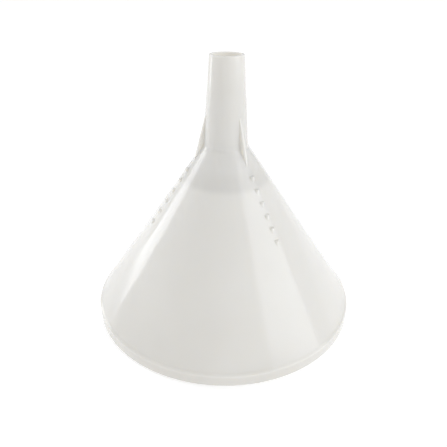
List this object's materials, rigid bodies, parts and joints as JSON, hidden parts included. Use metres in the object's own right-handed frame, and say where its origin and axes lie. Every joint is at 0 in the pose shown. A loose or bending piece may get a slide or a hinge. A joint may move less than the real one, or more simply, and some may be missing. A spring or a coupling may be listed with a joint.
{
  "type": "conical filter funnel",
  "caption": "Conical plastic filter funnel with a tapered stem, fins and vent pips, standing on its mouth, with a lift-out perforated plate and seal ring inside.",
  "frame": {"origin": "centre of the mouth's rim plane, on the surface that the funnel stands on", "axes": "+Z along the funnel's axis towards the stem's tip; the fins stand at azimuths -48, 72 and 192 degrees from +X"},
  "size_m": [0.15, 0.15, 0.1435],
  "materials": {
    "white_plastic": "glossy translucent white polypropylene",
    "plate_plastic": "satin white polypropylene",
    "silicone": "milky silicone"
  },
  "bodies": {
    "funnel": {"funnel_body": "white_plastic"},
    "plate": {"filter_plate": "plate_plastic", "plate_seal": "silicone"}
  },
  "joints": [
    {"name": "plate_lift", "type": "slide", "parent": "funnel", "child": "plate", "axis": [0, 0, -1], "range_m": [0, 0.0766]}
  ]
}
